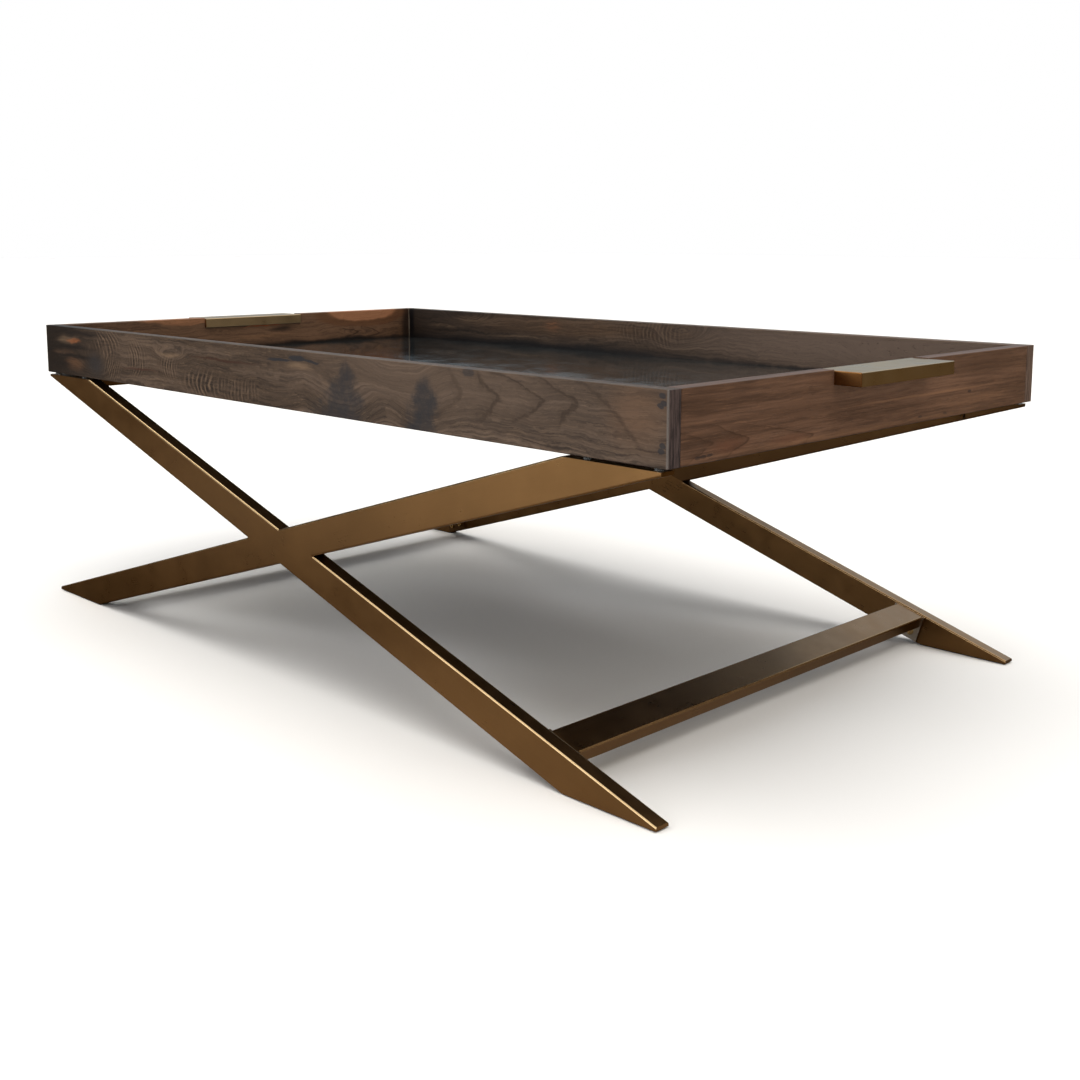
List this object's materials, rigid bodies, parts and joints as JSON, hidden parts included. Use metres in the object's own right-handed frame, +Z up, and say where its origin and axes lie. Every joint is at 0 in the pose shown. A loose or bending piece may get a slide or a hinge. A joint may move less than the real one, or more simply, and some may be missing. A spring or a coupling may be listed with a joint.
{
  "type": "tray top coffee table",
  "caption": "Shallow walnut tray with brass handles and a smoked mirror floor, resting on a low crossed-leg frame of bronze-finished rectangular steel tube; the tray lifts off.",
  "frame": {"origin": "on the floor, at the centre of the table's footprint", "axes": "+X along the tray's long side, +Y across, towards the back, +Z up"},
  "size_m": [1.263, 0.7, 0.405],
  "materials": {
    "long_board_walnut": "oiled figured walnut, grey-brown, satin",
    "end_board_walnut": "oiled straight-grained walnut, red-brown, satin",
    "base_panel": "stained veneered panel",
    "smoked_mirror": "smoked antiqued mirror glass, faintly clouded",
    "dowel_wood": "raw beech dowel",
    "satin_brass": "satin brass, brushed along its length",
    "screw_brass": "polished brass-plated screw",
    "bronze_tube": "bronze-plated steel, finely brushed, lacquered, brighter at the edges",
    "plate_steel": "satin nickel-bronze plate",
    "black_pad": "matt black rubber strip",
    "clear_bumper": "clear soft polyurethane"
  },
  "bodies": {
    "frame": {"front_through_leg": "bronze_tube", "front_upper_half_leg": "bronze_tube", "front_lower_half_leg": "bronze_tube", "back_through_leg": "bronze_tube", "back_upper_half_leg": "bronze_tube", "back_lower_half_leg": "bronze_tube", "leg_top_caps": "bronze_tube", "leg_foot_caps": "bronze_tube", "foot_pads": "black_pad", "clear_bumpers": "clear_bumper", "left_stretcher": "bronze_tube", "right_stretcher": "bronze_tube", "stretcher_plate_front_left": "plate_steel", "stretcher_plate_front_right": "plate_steel", "stretcher_plate_back_left": "plate_steel", "stretcher_plate_back_right": "plate_steel", "stretcher_screws": "screw_brass", "left_top_rail": "bronze_tube", "right_top_rail": "bronze_tube", "rail_plate_front_left": "plate_steel", "rail_plate_front_right": "plate_steel", "rail_plate_back_left": "plate_steel", "rail_plate_back_right": "plate_steel", "rail_screws": "screw_brass"},
    "tray": {"front_board": "long_board_walnut", "back_board": "long_board_walnut", "left_end_board": "end_board_walnut", "right_end_board": "end_board_walnut", "base_panel": "base_panel", "glass_inlay": "smoked_mirror", "corner_dowels": "dowel_wood", "left_handle": "satin_brass", "right_handle": "satin_brass", "handle_screws": "screw_brass"}
  },
  "joints": [
    {"name": "tray_lift", "type": "slide", "parent": "frame", "child": "tray", "axis": [0, 0, 1], "range_m": [0, 0.15]}
  ]
}
